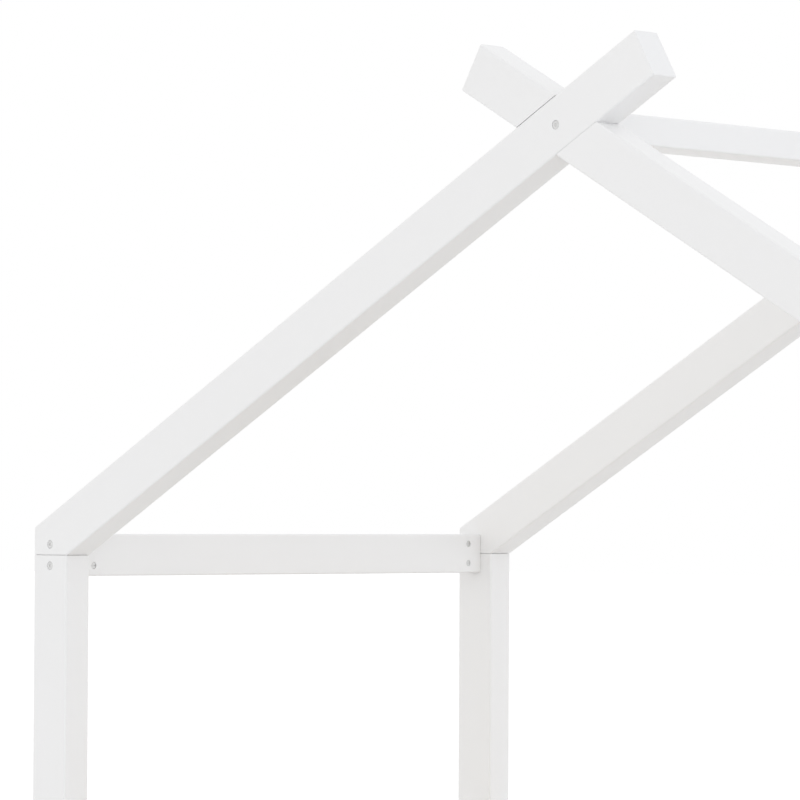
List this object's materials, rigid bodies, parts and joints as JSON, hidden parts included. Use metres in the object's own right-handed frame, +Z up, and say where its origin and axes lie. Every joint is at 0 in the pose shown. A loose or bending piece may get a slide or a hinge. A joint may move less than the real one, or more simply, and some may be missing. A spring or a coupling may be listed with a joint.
{
  "type": "house frame bed",
  "caption": "White house-shaped bed frame: gable posts, rafters that cross flush at the ridge and run on past it, a flat ridge beam, eaves rails and a slatted base.",
  "frame": {"origin": "on the floor, in the middle of the bed's footprint", "axes": "+X along the long side and each gable's span, +Y from the front gable to the rear one, +Z up"},
  "size_m": [2.1, 1, 1.4193],
  "materials": {
    "white_lacquer": "satin white lacquer on smooth softwood",
    "slat_pine": "planed bare pine",
    "zinc_steel": "zinc plated, satin",
    "dowel_beech": "plain beech"
  },
  "bodies": {
    "root": {"post_front_left": "white_lacquer", "post_front_right": "white_lacquer", "post_rear_left": "white_lacquer", "post_rear_right": "white_lacquer", "rafter_front_left": "white_lacquer", "rafter_front_right": "white_lacquer", "rafter_rear_left": "white_lacquer", "rafter_rear_right": "white_lacquer", "ridge_beam": "white_lacquer", "eaves_rail_left": "white_lacquer", "eaves_rail_right": "white_lacquer", "end_rail_left": "white_lacquer", "end_rail_right": "white_lacquer", "side_rail_front": "white_lacquer", "side_rail_rear": "white_lacquer", "slat_ledger_front": "white_lacquer", "slat_ledger_rear": "white_lacquer", "slat_01": "slat_pine", "slat_02": "slat_pine", "slat_03": "slat_pine", "slat_04": "slat_pine", "slat_05": "slat_pine", "slat_06": "slat_pine", "slat_07": "slat_pine", "slat_08": "slat_pine", "slat_09": "slat_pine", "slat_10": "slat_pine", "slat_11": "slat_pine", "slat_12": "slat_pine", "slat_13": "slat_pine", "slat_14": "slat_pine", "eaves_bolts": "zinc_steel", "eaves_barrel_nuts": "zinc_steel", "end_rail_bolts": "zinc_steel", "end_rail_barrel_nuts": "zinc_steel", "ridge_bolts": "zinc_steel", "ridge_barrel_nuts": "zinc_steel", "side_rail_bolts": "zinc_steel", "side_rail_barrel_nuts": "zinc_steel", "foot_dowels": "dowel_beech", "ridge_dowels": "dowel_beech"}
  },
  "joints": []
}
